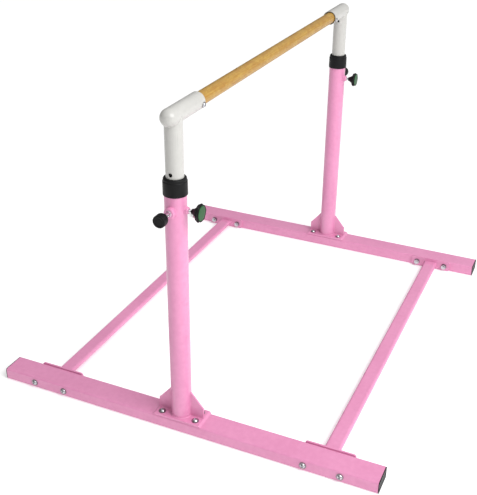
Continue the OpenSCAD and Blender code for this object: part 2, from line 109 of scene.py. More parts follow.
def grid_faces(rows, columns, wrap_rows, wrap_columns):
    """Corner numbers of the quads of a grid: point (i, j) has the number i * columns + j."""
    i = np.arange(rows if wrap_rows else rows - 1)
    j = np.arange(columns if wrap_columns else columns - 1)
    i, j = [a.ravel() for a in np.meshgrid(i, j, indexing="ij")]
    i2, j2 = (i + 1) % rows, (j + 1) % columns
    return np.stack([i * columns + j, i2 * columns + j, i2 * columns + j2, i * columns + j2], axis=1)


def build(name, grids, material, body, sharp=40):
    """One object from a list of (points, wrap_rows, wrap_columns) grids.

    Points that fall together are merged, so poles and seams close, and all normals are turned
    outwards. Edges that bend by more than the sharp angle, in degrees, stay crisp.
    """
    points, faces, start = [], [], 0
    for grid, wrap_rows, wrap_columns in grids:
        rows, columns = grid.shape[:2]
        points.append(grid.reshape(-1, 3))
        faces.append(grid_faces(rows, columns, wrap_rows, wrap_columns) + start)
        start += rows * columns
    mesh = bpy.data.meshes.new(name)
    mesh.from_pydata(np.concatenate(points).tolist(), [], np.concatenate(faces).tolist())
    shell = bmesh.new()
    shell.from_mesh(mesh)
    bmesh.ops.remove_doubles(shell, verts=shell.verts, dist=MERGE)
    bmesh.ops.dissolve_degenerate(shell, edges=shell.edges, dist=MERGE)
    bmesh.ops.recalc_face_normals(shell, faces=shell.faces)
    shell.to_mesh(mesh)
    shell.free()
    mesh.shade_smooth()
    mesh.set_sharp_from_angle(angle=math.radians(sharp))
    mesh.materials.append(material)
    piece = bpy.data.objects.new(name, mesh)
    bpy.context.scene.collection.objects.link(piece)
    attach(piece, body)
    print(name, len(mesh.polygons), "faces")
    return piece


# %% Profiles, turned pieces and their places


def rounded(corners, radii, steps=6):
    """A profile through the corners with each inner corner rounded off by its radius in millimetres.

    The round is the quadratic curve from the point a radius before the corner to the one a
    radius after it, with the corner as its handle: (1-t)^2 a + 2t(1-t) c + t^2 b.
    """
    corners = np.asarray(corners, float)
    line = [corners[:1]]
    for corner, before, after, radius in zip(corners[1:-1], corners[:-2], corners[2:], radii):
        r = radius * MM
        a = corner + (before - corner) / np.linalg.norm(before - corner) * r
        b = corner + (after - corner) / np.linalg.norm(after - corner) * r
        t = np.linspace(0, 1, steps if r > 0 else 1)[:, None]
        line.append((1 - t) ** 2 * a + 2 * t * (1 - t) * corner + t**2 * b)
    line.append(corners[-1:])
    return np.concatenate(line)


def turned(profile, count):
    """A profile of (radius, height) turned about +Z: (r cos t, r sin t, h) at count angles."""
    t = np.arange(count) * 2 * np.pi / count
    r, h = profile[:, :1], profile[:, 1:]
    return np.stack([r * np.cos(t), r * np.sin(t), h + 0 * t], axis=2)


def placed(points, side, along, up=(0, 0, 1)):
    """Points made along +Z, turned to run along a direction from the lock height on a side's axis.

    A point (x, y, z) goes to the start plus x (up cross along) + y up + z along.
    """
    z = np.asarray(along, float)
    y = np.asarray(up, float)
    return (side * axis_x, 0, lock_z) + points @ np.stack([np.cross(y, z), y, z])


# %% [markdown]
# ## Colours and shader helpers
# A colour is written as it is seen on a screen and is turned into the linear light that the
# shaders reckon with. Small helpers keep each material readable: they add one node with its
# inputs, and hand back the output that the next node takes.

# %% Shader helpers


def linear(red, green, blue):
    """Screen colour, 0 to 255, as linear light: ((c + 0.055) / 1.055) ** 2.4, or c / 12.92 near 0."""
    c = np.array([red, green, blue]) / 255
    light = np.where(c <= 0.04045, c / 12.92, ((c + 0.055) / 1.055) ** 2.4)
    return (*light.tolist(), 1.0)


def add(tree, kind, inputs=None, **settings):
    """Adds a node: settings are its properties, and inputs holds values or other nodes' outputs."""
    node = tree.nodes.new(kind)
    for key, value in settings.items():
        setattr(node, key, value)
    for key, value in (inputs or {}).items():
        if isinstance(value, bpy.types.NodeSocket):
            tree.links.new(value, node.inputs[key])
        else:
            node.inputs[key].default_value = value
    return node


def place(tree):
    """The Object coordinates of the piece: metres in the shared frame, fixed to the piece."""
    return add(tree, "ShaderNodeTexCoord").outputs["Object"]


def noise(tree, where, scale, detail, **inputs):
    """Noise from 0 to 1, mostly near 0.5, with cells 1 / scale metres across."""
    node = add(tree, "ShaderNodeTexNoise", {"Vector": where, "Scale": scale, "Detail": detail, **inputs})
    return node.outputs["Fac"]


def stretched(tree, where, scales, detail, **inputs):
    """Noise whose cells have their own length along X, Y and Z: 1 / scale metres each."""
    drawn = add(tree, "ShaderNodeVectorMath", {0: where, 1: scales}, operation="MULTIPLY")
    return noise(tree, drawn.outputs[0], 1.0, detail, **inputs)


def ranged(tree, value, low, high, to_low=0.0, to_high=1.0):
    """A value moved from the range low to high to another range, and held inside it."""
    return add(tree, "ShaderNodeMapRange", {"Value": value, "From Min": low, "From Max": high,
        "To Min": to_low, "To Max": to_high}).outputs[0]


def maths(tree, operation, *values):
    """One sum on plain values or other nodes' outputs."""
    return add(tree, "ShaderNodeMath", dict(enumerate(values)), operation=operation).outputs[0]


def mixed(tree, factor, first, second):
    """Two colours mixed by a factor from 0 to 1."""
    return add(tree, "ShaderNodeMix", {"Factor": factor, 6: first, 7: second}, data_type="RGBA").outputs[2]


# %% Starting groups and materials


def new_group(name, inputs, outputs):
    """A shader node group with named sockets. Returns its tree, its inputs and its output node."""
    tree = bpy.data.node_groups.new(name, "ShaderNodeTree")
    for label, kind, value in inputs:
        socket = tree.interface.new_socket(label, in_out="INPUT", socket_type=f"NodeSocket{kind}")
        socket.default_value = value
    for label, kind in outputs:
        tree.interface.new_socket(label, in_out="OUTPUT", socket_type=f"NodeSocket{kind}")
    return tree, tree.nodes.new("NodeGroupInput").outputs, tree.nodes.new("NodeGroupOutput")


def new_material(name, **shader):
    """A material whose Principled shader has the given plain values. Returns material, tree, shader."""
    material = bpy.data.materials.new(name)
    material.use_nodes = True
    tree = material.node_tree
    principled = tree.nodes["Principled BSDF"]
    for key, value in shader.items():
        principled.inputs[key.replace("_", " ")].default_value = value
    return material, tree, principled


def feed(tree, node, **values):
    """Links outputs to a node's inputs, named with _ for a space."""
    for key, value in values.items():
        tree.links.new(value, node.inputs[key.replace("_", " ")])


def bump(tree, principled, height, distance):
    """Feeds a height, 0 to 1, to the shader's normal, with a depth in metres."""
    node = add(tree, "ShaderNodeBump", {"Height": height, "Strength": 1.0, "Distance": distance})
    feed(tree, principled, Normal=node.outputs["Normal"])


# %% [markdown]
# ## Effects that several finishes share
# **Skin** is what any sprayed or moulded surface has: a fine relief, a slow drift of tone and a
# gloss that isn't even. Powder coat shows it as orange peel about 2 mm across, moulded plastic
# as a much finer etched texture. **Rubs** are the thin, straight marks left where one part
# slides in another. Each is one node group, placed in every material with its own values,
# because an effect that is built once can be tuned once.

# %% Skin: relief, drift of tone and uneven gloss
skin, given, result = new_group(
    "Skin",
    [("Vector", "Vector", (0, 0, 0)), ("Light tone", "Color", (1, 1, 1, 1)),
     ("Dark tone", "Color", (1, 1, 1, 1)), ("Relief scale", "Float", 450.0),
     ("Gloss low", "Float", 0.3), ("Gloss high", "Float", 0.4)],
    [("Color", "Color"), ("Roughness", "Float"), ("Height", "Float")])
relief = noise(skin, given["Vector"], given["Relief scale"], 1.5, Roughness=0.4)
drift = noise(skin, given["Vector"], 5.0, 3.0)
speck = noise(skin, given["Vector"], 70.0, 4.0)
tone = ranged(skin, maths(skin, "ADD", drift, speck), 0.75, 1.25)
shade = mixed(skin, tone, given["Dark tone"], given["Light tone"])
gloss = ranged(skin, speck, 0.35, 0.65, given["Gloss low"], given["Gloss high"])
feed(skin, result, Color=shade, Roughness=gloss, Height=relief)


def place_skin(tree, light, dark, relief_scale, gloss_range):
    """Skin on the piece's own coordinates, with its two tones, its relief and its range of gloss."""
    return add(tree, "ShaderNodeGroup", {"Vector": place(tree), "Light tone": light, "Dark tone": dark,
        "Relief scale": relief_scale, "Gloss low": gloss_range[0], "Gloss high": gloss_range[1]},
        node_tree=skin).outputs


# %% Rubs: thin marks along one direction
rubs, given, result = new_group(
    "Rubs",
    [("Vector", "Vector", (0, 0, 0)), ("Stretch", "Vector", (600.0, 600.0, 6.0)), ("Amount", "Float", 0.5)],
    [("Mask", "Float")])
lines = ranged(rubs, stretched(rubs, given["Vector"], given["Stretch"], 2.0), 0.6, 0.72)
patch = ranged(rubs, noise(rubs, given["Vector"], 14.0, 2.0), 0.45, 0.6)
feed(rubs, result, Mask=maths(rubs, "MULTIPLY", maths(rubs, "MULTIPLY", lines, patch), given["Amount"]))
print("groups:", [group.name for group in bpy.data.node_groups])

# %% [markdown]
# ## Powder coat, pink and light grey
# Powder coat is a plastic film baked on steel: an even colour, a soft gloss and a faint orange
# peel. The posts slide in the collars, so their coat also has faint upright rub marks, which are
# a little darker and less glossy than the rest. The floor frame is only shoved about, so its
# marks are broad and blurred.

# %% Powder coats
PEEL_DEPTH = 0.03 * MM


def powder_coat(name, light, dark, rub, rub_stretch, rub_amount):
    """Powder coat: Skin gives colour, gloss and peel, and Rubs draws slide marks over them."""
    material, tree, principled = new_material(name, Coat_Weight=0.3, Coat_Roughness=0.1,
        Specular_IOR_Level=0.45)
    film = place_skin(tree, light, dark, 420.0, (0.3, 0.4))
    marks = add(tree, "ShaderNodeGroup", {"Vector": place(tree), "Stretch": rub_stretch,
        "Amount": rub_amount}, node_tree=rubs).outputs["Mask"]
    feed(tree, principled, Base_Color=mixed(tree, marks, film["Color"], rub),
        Roughness=maths(tree, "MULTIPLY_ADD", marks, 0.2, film["Roughness"]))
    bump(tree, principled, film["Height"], PEEL_DEPTH)
    return material


pink_coat = powder_coat("pink_coat", linear(222, 145, 184), linear(215, 136, 176),
    linear(205, 124, 165), (90.0, 8.0, 60.0), 0.35)
grey_coat = powder_coat("grey_coat", linear(188, 187, 183), linear(182, 181, 177),
    linear(146, 144, 139), (700.0, 700.0, 5.0), 0.45)
print("powder coats:", pink_coat.name, grey_coat.name)

# %% [markdown]
# ## The wooden bar
# The bar is turned from straight-grained hardwood, so its growth rings run along it and cross
# the surface as long, slightly wavy lines. A picture of wood would repeat and stretch, but rings
# worked out from the distance to a tree's centre, some way outside the bar, stay true all round
# it.

# %% Growth rings
RING_WIDTH = 4.2 * MM
TREE_CENTRE = (0.0, 21 * MM, -62 * MM)
WANDER = 6 * MM
wood, tree, principled = new_material("lacquered_wood", Coat_Weight=0.08, Coat_Roughness=0.16,
    Specular_IOR_Level=0.2)
where = add(tree, "ShaderNodeMapping", {"Vector": place(tree), "Location": (0.0, 0.0, -bar_z)}).outputs[0]
from_centre = add(tree, "ShaderNodeVectorMath", {0: where, 1: TREE_CENTRE}, operation="SUBTRACT")
across_grain = add(tree, "ShaderNodeVectorMath", {0: from_centre.outputs[0], 1: (0.0, 1.0, 1.0)},
    operation="MULTIPLY")
distance = add(tree, "ShaderNodeVectorMath", {0: across_grain.outputs[0]}, operation="LENGTH")
wander = ranged(tree, stretched(tree, where, (3.0, 20.0, 20.0), 2.0), 0.0, 1.0, -WANDER, WANDER)
ring_radius = maths(tree, "ADD", distance.outputs["Value"], wander)
rings = maths(tree, "SINE", maths(tree, "MULTIPLY", ring_radius, 2 * math.pi / RING_WIDTH))
late_wood = ranged(tree, rings, 0.1, 1.0)
print("rings", RING_WIDTH / MM, "mm apart along", round(2 * half("bar", "x"), 3), "m")

# %% [markdown]
# Between the rings lie finer fibres, short dark pores and flecks, and the colour wanders from
# yellow to orange over a few centimetres. All of them are noise drawn out along the bar. Each
# is mixed over the one before by its own share, and the fibres also give the lacquer its
# slightly uneven gloss and relief.

# %% Fibres, pores, flecks and lacquer
GRAIN_DEPTH = 0.04 * MM
fibres = ranged(tree, stretched(tree, where, (9.0, 420.0, 420.0), 4.0), 0.35, 0.65)
pores = ranged(tree, stretched(tree, where, (45.0, 1100.0, 1100.0), 1.0), 0.66, 0.74)
patches = ranged(tree, stretched(tree, where, (26.0, 60.0, 60.0), 3.0, Distortion=0.6), 0.4, 0.62)
flecks = ranged(tree, stretched(tree, where, (95.0, 330.0, 330.0), 3.0, Distortion=0.4), 0.42, 0.62)
colour = mixed(tree, patches, linear(175, 140, 66), linear(161, 118, 52))
for mask, share, stain in (
        (flecks, 0.42, linear(150, 108, 50)),
        (late_wood, 0.32, linear(146, 106, 48)),
        (fibres, 0.3, linear(186, 153, 82)),
        (pores, 0.55, linear(104, 68, 32))):
    colour = mixed(tree, maths(tree, "MULTIPLY", mask, share), colour, stain)
feed(tree, principled, Base_Color=colour, Roughness=ranged(tree, fibres, 0.0, 1.0, 0.42, 0.32))
bump(tree, principled, fibres, GRAIN_DEPTH)
print("wood nodes:", len(tree.nodes))

# %% [markdown]
# ## Moulded plastics
# The collars, end caps and knobs are black polypropylene with a finely etched skin, and the
# clamp knobs' caps are a glossier dark green. Both use Skin with a relief of a fraction of a
# millimetre.

# %% Plastics


def moulding(name, light, dark, gloss_range, relief_depth, specular):
    """Moulded plastic: Skin with a fine relief."""
    material, tree, principled = new_material(name, IOR=1.48, Specular_IOR_Level=specular)
    film = place_skin(tree, light, dark, 2200.0, gloss_range)
    feed(tree, principled, Base_Color=film["Color"], Roughness=film["Roughness"])
    bump(tree, principled, film["Height"], relief_depth)
    return material


black_moulding = moulding("black_moulding", linear(25, 25, 26), linear(18, 18, 19), (0.4, 0.54),
    0.03 * MM, 0.16)
green_moulding = moulding("green_moulding", linear(40, 92, 50), linear(30, 76, 40), (0.34, 0.46),
    0.01 * MM, 0.2)
print("plastics:", black_moulding.name, green_moulding.name)

# %% [markdown]
# ## Metals
# The bolts and nuts are zinc plated, which is bright with a faint cloudy bloom. Their washers
# get a darker, duller zinc whose darkness is painted shade: the dark ring round the bolt heads.
# The pin housings, plungers and clamp studs are nickel plated over fine turning marks. One
# function makes all of them: the marks are a very fine noise, and the bloom is the same Skin as
# before.

# %% Plated and turned metals


def metal(name, light, dark, gloss_range, marks_scale, marks_depth=0.01 * MM):
    """Metal: Skin for bloom and gloss, and fine marks as relief."""
    material, tree, principled = new_material(name, Metallic=1.0)
    film = place_skin(tree, light, dark, 1500.0, gloss_range)
    feed(tree, principled, Base_Color=film["Color"], Roughness=film["Roughness"])
    bump(tree, principled, noise(tree, place(tree), marks_scale, 3.0), marks_depth)
    return material


zinc = metal("zinc_plate", linear(204, 204, 207), linear(174, 175, 180), (0.14, 0.24), 900.0)
# The washers' darker tones are painted shade, the dark ring round the bolt heads, over a duller zinc.
washer_painted_shade = metal("washer_painted_shade_zinc", linear(146, 140, 143), linear(118, 112, 115), (0.3, 0.44), 900.0,
    0.02 * MM)
nickel = metal("nickel_plate", linear(226, 226, 228), linear(206, 206, 210), (0.12, 0.24), 1600.0)
spring_wire = metal("spring_wire", linear(176, 176, 178), linear(150, 150, 154), (0.25, 0.4), 2500.0)
brass = metal("turned_brass", linear(214, 182, 112), linear(190, 156, 90), (0.2, 0.32), 1600.0)
print("materials:", [material.name for material in bpy.data.materials])

# %% Give every CAD node its finish
finishes = {
    "pink_powder_coat": pink_coat,
    "grey_powder_coat": grey_coat,
    "lacquered_wood": wood,
    "black_plastic": black_moulding,
    "green_plastic": green_moulding,
    "zinc_steel": zinc,
    "bright_steel": nickel,
    "spring_steel": spring_wire,
    "brass": brass,
}
for part in frame["record"]["subparts"]:
    # Washers take the zinc whose darker tones are painted shade round the bolt heads.
    finish = washer_painted_shade if "washers" in part["node"] else finishes[part["material_slot"]]
    for material_slot in nodes[part["node"]].material_slots:
        material_slot.material = finish

# %% [markdown]
# ## Weld beads
# Flange plates, gussets, tubes, bosses and elbows are welded, and the coat flows over each
# bead. A bead is a small tube whose centre follows the joint line, with a slow ripple where the
# welder stopped and went on. Bevelling the CAD edge could give a plain fillet, but not the
# ripple, so the bead is a circle swept along the line, and the half that lies inside the steel
# is simply hidden.

# %% Sweep a rippled circle along a line
BEAD_SIDES = 12
RIPPLE = 4.5 * MM
RIPPLE_SHARE = 0.13
BEAD_R = {"foot": 2.4 * MM, "gusset_foot": 1.7 * MM, "gusset_side": 1.6 * MM, "boss": 1.5 * MM,
    "cross_tube": 1.7 * MM, "elbow": 1.3 * MM}
LINE_STEP = 0.9 * MM


def bead(path, radius, closed):
    """A tube round a line: P(s) + r(s) (cos a N + sin a B), with N and B square to the line.

    The ripple is r(s) = radius (1 + share sin^2(pi s / ripple)). Open lines taper to points at
    their ends.
    """
    path = np.asarray(path, float)
    step = np.roll(path, -1, axis=0) - path if closed else np.diff(path, axis=0, append=path[-1:])
    along = np.concatenate([[0], np.cumsum(np.linalg.norm(step, axis=1))[:-1]])
    ahead = np.roll(path, -1, axis=0) - np.roll(path, 1, axis=0) if closed else np.gradient(path, axis=0)
    ahead /= np.linalg.norm(ahead, axis=1)[:, None]
    side = np.cross(ahead, (0.31, 0.53, 0.79))
    side /= np.linalg.norm(side, axis=1)[:, None]
    over = np.cross(ahead, side)
    r = radius * (1 + RIPPLE_SHARE * np.sin(np.pi * along / RIPPLE) ** 2)
    if not closed:
        r = r * np.sqrt(np.clip(np.minimum(along, along[-1] - along) / radius, 0, 1))
    a = np.arange(BEAD_SIDES) * 2 * np.pi / BEAD_SIDES
    ring = np.cos(a)[None, :, None] * side[:, None] + np.sin(a)[None, :, None] * over[:, None]
    return path[:, None] + r[:, None, None] * ring, closed, True


def straight(start, end):
    """Points about a line step apart on a straight line."""
    start, end = np.asarray(start, float), np.asarray(end, float)
    count = max(4, int(np.linalg.norm(end - start) / LINE_STEP))
    return start + np.linspace(0, 1, count)[:, None] * (end - start)


# %% [markdown]
# The joint lines are short formulas. Round the foot of an upright it is a circle. A boss on a
# tube meets it where a cylinder cuts a cylinder: with t round the boss of radius b, the point is
# b cos t across, b sin t up and sqrt(R^2 - b^2 cos^2 t) out. Where a post meets the bar's socket,
# the same formula holds with the two cylinders equally wide.

# %% Lines of the feet and bosses
turn = np.linspace(0, 2 * np.pi, 240, endpoint=False)
cos, sin = np.cos(turn), np.sin(turn)


def foot_welds(name, side):
    """Beads round an upright's foot and along both faces of its two gussets."""
    r = upright_r + 0.6 * MM
    circle = np.stack([side * axis_x + r * cos, r * sin, plate_top + 0 * turn], axis=1)
    beads = [bead(circle, BEAD_R["foot"], True)]
    for end, facing in ENDS.items():
        low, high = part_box(f"{name}_{end}_gusset")
        reach = low.y if facing < 0 else high.y
        for face in (low.x, high.x):
            corner = (face, facing * upright_r, plate_top)
            beads.append(bead(straight(corner, (face, reach, plate_top)), BEAD_R["gusset_foot"], False))
            beads.append(bead(straight(corner, (face, corner[1], high.z)), BEAD_R["gusset_side"], False))
    return beads


def boss_weld(side, boss_r, front):
    """Bead where a boss meets the upright; front is True for the boss on the front side."""
    across, up = boss_r * cos, boss_r * sin
    out = np.sqrt(upright_r**2 - across**2)
    if front:
        line = np.stack([side * axis_x + across, -out, lock_z + up], axis=1)
    else:
        line = np.stack([side * (axis_x + out), across, lock_z + up], axis=1)
    return bead(line, BEAD_R["boss"], True)


# %% Lines of the cross tubes and elbows


def flange_weld(end, side_name):
    """Bead round a flat-oval cross tube: a straight and a half circle, and both again turned half round."""
    plate_low, plate_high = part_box(f"{end}_{side_name}_flange")
    x = plate_high.x if side_name == "left" else plate_low.x
    centre = middle(f"{end}_cross_tube")
    round_r = half(f"{end}_cross_tube", "z")
    flat = half(f"{end}_cross_tube", "y") - round_r
    arc = np.linspace(-np.pi / 2, np.pi / 2, 40)
    top = np.linspace(flat, -flat, 40)[1:-1]
    nose = np.stack([flat + round_r * np.cos(arc), round_r * np.sin(arc)], axis=1)
    half_way = np.concatenate([nose, np.stack([top, np.full(len(top), round_r)], axis=1)])
    yz = np.concatenate([half_way, -half_way])
    line = np.stack([np.full(len(yz), x), centre.y + yz[:, 0], centre.z + yz[:, 1]], axis=1)
    return bead(line, BEAD_R["cross_tube"], True)


def elbow_weld(side):
    """Bead where a post meets its socket: z = height - sqrt(r^2 - y^2 - d^2), d past the dome's centre."""
    dome_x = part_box("right_elbow")[1].x - post_r
    x, y = side * axis_x + post_r * cos, post_r * sin
    past = np.maximum(side * x - dome_x, 0)
    z = bar_z - np.sqrt(np.maximum(post_r**2 - y**2 - past**2, 0))
    return bead(np.stack([x, y, z], axis=1), BEAD_R["elbow"], True)


# %% Weld the frame and the elbows
for name, side in SIDES.items():
    bosses = [boss_weld(side, half(f"{name}_pin_boss", "y"), False),
        boss_weld(side, half(f"{name}_clamp_boss", "x"), True)]
    build(f"{name}_foot_welds", foot_welds(name, side), pink_coat, "floor_frame")
    build(f"{name}_boss_welds", bosses, pink_coat, "floor_frame")
    build(f"{name}_elbow_weld", [elbow_weld(side)], grey_coat, "top_frame")
for end in ENDS:
    beads = [flange_weld(end, side_name) for side_name in SIDES]
    build(f"{end}_flange_welds", beads, pink_coat, "floor_frame")

# %% [markdown]
# ## Collars
# A collar is a moulded cap over the upright's top edge. Its outside has a slight draft, a
# shoulder below a narrower rim, and soft edges everywhere, because moulds have no sharp corners.
# It is a profile turned about the post's axis. Its bore is the CAD collar's own, so that the
# post keeps its clearance.

# %% Turn the collars
COLLAR_HEIGHT = 48 * MM
POST_GAP = 0.3 * MM
SNUG = 0.1 * MM
SLEEVE_INSET = 2.2 * MM
collar_low, collar_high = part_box("right_collar")


def collar_profile():
    """Closed outline of (radius, height), from the skirt's inner edge round the outside to the bore."""
    top, base, sleeve_end = collar_high.z, collar_high.z - COLLAR_HEIGHT, collar_low.z
    outer_r, skirt_r = collar_high.x - axis_x, upright_r + SNUG
    sleeve_r, guide_r = upright_r - SLEEVE_INSET, post_r + POST_GAP
    return rounded(
        [(skirt_r, upright_top - 2 * MM), (skirt_r, base), (outer_r, base),
         (outer_r - 0.2 * MM, top - 10.6 * MM), (outer_r - 1.6 * MM, top - 9.0 * MM),
         (outer_r - 1.8 * MM, top - 3.4 * MM), (outer_r - 4.6 * MM, top), (guide_r, top),
         (guide_r, sleeve_end), (sleeve_r, sleeve_end), (sleeve_r, upright_top + SNUG),
         (skirt_r, upright_top + SNUG), (skirt_r, upright_top - 2 * MM)],
        [0.2, 1.2, 0.8, 0.5, 1.2, 1.0, 0.5, 0.4, 0.3, 0.0, 0.0])


for name, side in SIDES.items():
    ring = turned(collar_profile(), 128) + np.array([side * axis_x, 0, 0])
    collar = build(f"{name}_collar_moulding", [(ring, False, True)], black_moulding, "floor_frame",
        sharp=50)
    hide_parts(f"{name}_collar")

# %% [markdown]
# ## Rail end caps
# Each rail end is closed by a plug with a lip as wide as the rail. The lip's face is set back
# inside a border. A rounded rectangle can be inset like a picture frame: each ring of the grid
# is the same outline, drawn in and moved out along the rail by the profile's next point.

# %% Draw the end caps
CORNER_STEPS = 10
RAIL_CORNER = 6 * MM
LEAST_CORNER = 0.6 * MM
LIP = 2.5 * MM
PLUG_DEPTH = 24 * MM
PLUG_INSET = 2.2 * MM
FACE_DEPTH = 1.1 * MM
width, height = 2 * half("right_rail", "x"), 2 * half("right_rail", "z")


def rail_outline(width, height, corner):
    """Rounded rectangle about the origin: four quarter circles round the inner corner points."""
    arc = np.linspace(0, np.pi / 2, CORNER_STEPS)
    quarters = []
    for k, (sx, sz) in enumerate([(1, 1), (-1, 1), (-1, -1), (1, -1)]):
        a = arc + k * np.pi / 2
        quarters.append(np.stack([sx * (width / 2 - corner) + corner * np.cos(a),
            sz * (height / 2 - corner) + corner * np.sin(a)], axis=1))
    return np.concatenate(quarters)


def end_cap(centre_x, face_y, outward):
    """Rings of the rail's outline: (inset, distance behind the face) from the plug to the face's middle."""
    profile = rounded(
        [(PLUG_INSET, PLUG_DEPTH), (PLUG_INSET, LIP), (0.0, LIP), (0.0, 0.0), (4.2 * MM, 0.0),
         (5.2 * MM, FACE_DEPTH), (height / 2 - 1 * MM, FACE_DEPTH)],
        [0.2, 0.1, 0.5, 0.6, 0.6])
    rings = []
    for inset, back in profile:
        corner = max(RAIL_CORNER - inset, LEAST_CORNER)
        ring = rail_outline(width - 2 * inset, height - 2 * inset, corner)
        rings.append(np.stack([centre_x + ring[:, 0], np.full(len(ring), face_y - outward * back),
            height / 2 + ring[:, 1]], axis=1))
    first, last = rings[0], rings[-1]
    return np.stack([0 * first + first.mean(axis=0), *rings, 0 * last + last.mean(axis=0)])


for name, side in SIDES.items():
    for end, outward in ENDS.items():
        low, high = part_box(f"{name}_{end}_end_cap")
        face_y = low.y if outward < 0 else high.y
        cap = build(f"{name}_{end}_cap_moulding", [(end_cap(side * axis_x, face_y, outward), False, True)],
            black_moulding, "floor_frame", sharp=50)
        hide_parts(f"{name}_{end}_end_cap")

# %% [markdown]
# ## Clamp knobs
# A clamp knob is a star knob: a black moulded hub that flares into a head with six lobes, easy
# to turn with a sweaty hand, and a round green cap snapped into its face. A boolean of
# cylinders gives hard flutes, but on the real moulding they swell out of the hub. So the radius
# is one function of the height and the angle: the profile's radius, less a flute depth that
# fades in along the head.

# %% Measure the clamp knobs
LOBES = 6
HEAD_T = 11 * MM
FLUTE = 3.6 * MM
FRONT = (0, -1, 0)
head_r, cap_r = half("right_clamp_knob", "x"), half("right_clamp_cap", "x")
stud_r = half("right_clamp_stud", "x")
hole_r = stud_r + SNUG
knob_face, knob_base = [-corner.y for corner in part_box("right_clamp_knob")]
cap_top, cap_seat = [-corner.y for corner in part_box("right_clamp_cap")]
print("clamp knob", round((knob_face - knob_base) / MM, 1), "mm long, head", round(2 * head_r / MM, 1), "mm")

# %% Shape the clamp knobs


def lobed(profile, depth, count=144):
    """r(t) = profile radius - depth * (0.5 - 0.5 cos(6 t)) ** 0.8, with a depth for each profile point."""
    t = np.arange(count) * 2 * np.pi / count
    flute = (0.5 - 0.5 * np.cos(LOBES * t)) ** 0.8
    r = np.maximum(profile[:, :1] - depth[:, None] * flute, 0)
    return np.stack([r * np.cos(t), r * np.sin(t), profile[:, 1:] + 0 * t], axis=2)


def star_knob():
    """Hub and head in one closed profile, from the stud's hole round the lobes to the cap's recess."""
    neck = knob_face - HEAD_T
    line = rounded(
        [(hole_r, knob_base + 20 * MM), (hole_r, knob_base), (7.2 * MM, knob_base),
         (8.4 * MM, knob_base + 6 * MM), (12.6 * MM, neck - 6 * MM), (15.0 * MM, neck - 0.4 * MM),
         (head_r - 3.0 * MM, neck + 0.6 * MM), (head_r, neck + 3.4 * MM), (head_r, knob_face - 3.6 * MM),
         (head_r - 4.6 * MM, knob_face - 0.2 * MM), (cap_r + 0.8 * MM, knob_face),
         (cap_r + SNUG, knob_face - 0.5 * MM), (cap_r + SNUG, cap_seat),
         (hole_r, knob_base + 24.05 * MM), (hole_r, knob_base + 20 * MM)],
        [0.0, 0.8, 2.5, 3, 2, 1.2, 2.0, 2.0, 2.8, 0.4, 0.3, 0.0, 0.0], steps=8)
    rise = np.clip((line[:, 0] - cap_r - 2 * MM) / (head_r - cap_r - 3 * MM), 0, 1)
    return lobed(line, FLUTE * rise * rise * (3 - 2 * rise))


def knob_cap():
    """The cap: a low dome with a soft edge, (radius, height) from its seat to its middle."""
    seat = cap_seat + 0.02 * MM
    return turned(rounded(
        [(0.0, seat), (cap_r, seat), (cap_r, cap_top - 1.2 * MM), (cap_r - 1.4 * MM, cap_top - 0.5 * MM),
         (cap_r - 8 * MM, cap_top - 0.05 * MM), (0.0, cap_top)],
        [0.2, 0.9, 0.8, 3]), 96)


for name, side in SIDES.items():
    knob = build(f"{name}_star_knob", [(placed(star_knob(), side, FRONT), False, True)], black_moulding,
        f"{name}_clamp_screw")
    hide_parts(f"{name}_clamp_knob")
    lid = build(f"{name}_knob_cap", [(placed(knob_cap(), side, FRONT), False, True)], green_moulding,
        f"{name}_clamp_screw")
    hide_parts(f"{name}_clamp_cap")

# %% [markdown]
# ## Clamp studs
# The stud between the boss and the knob is an M8 screw. Its thread is a helical surface: the
# radius at a height and an angle is a triangle wave of (height / pitch - angle / 2 pi). A
# screw modifier could spin the same tooth, but one formula keeps the ends closed and the depth
# exact.

# %% Cut the studs' threads
PITCH = 1.25 * MM
THREAD_DEPTH = 0.6 * MM
CREST_GAP = 0.02 * MM


def thread(start, end, count=40, per_pitch=10):
    """Radius = outer - depth * |2 frac(h / pitch - t / 2 pi) - 1|, with flat closed ends."""
    h = np.linspace(start, end, int((end - start) / PITCH * per_pitch))[:, None]
    t = np.arange(count)[None, :] * 2 * np.pi / count
    wave = np.abs(2 * np.mod(h / PITCH - t / (2 * np.pi), 1) - 1)
    fade = np.clip(np.minimum(h - start, end - h) / PITCH, 0, 1)
    r = stud_r - CREST_GAP - THREAD_DEPTH * (1 - (1 - wave) * fade)
    body = np.stack([r * np.cos(t), r * np.sin(t), h + 0 * t], axis=2)
    return np.concatenate([body[:1] * (0, 0, 1), body, body[-1:] * (0, 0, 1)])


for name, side in SIDES.items():
    end, start = [-corner.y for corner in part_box(f"{name}_clamp_stud")]
    stud = build(f"{name}_clamp_stud_thread", [(placed(thread(start, end), side, FRONT), False, True)],
        nickel, f"{name}_clamp_screw")
    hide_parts(f"{name}_clamp_stud")

# %% [markdown]
# ## Pull knobs
# A pull knob is a plain round button that swells from a narrow waist, with a rim round a dished
# end. It is the same profile idea as the collar, turned about the pin's axis.

# %% Turn the pull knobs
ROD_R = 3.1 * MM
pull_r = half("right_pin_knob", "y")
pull_start, pull_end = [corner.x - axis_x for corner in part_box("right_pin_knob")]


def pull_profile():
    """(radius, distance) from the rod's hole at the waist, over the side and rim, to the dished face."""
    hole_end = pull_start + 18 * MM
    outline = rounded(
        [(ROD_R, hole_end), (ROD_R, pull_start), (pull_r - 6 * MM, pull_start),
         (pull_r - 3 * MM, pull_start + 5 * MM), (pull_r, pull_start + 10 * MM), (pull_r, pull_end),
         (pull_r - 4.6 * MM, pull_end), (pull_r - 6.2 * MM, pull_end - 1.6 * MM), (0.0, pull_end - 1.2 * MM)],
        [0.3, 1.0, 2.5, 2.5, 2.6, 0.8, 0.8])
    return np.concatenate([[(0.0, hole_end)], outline])


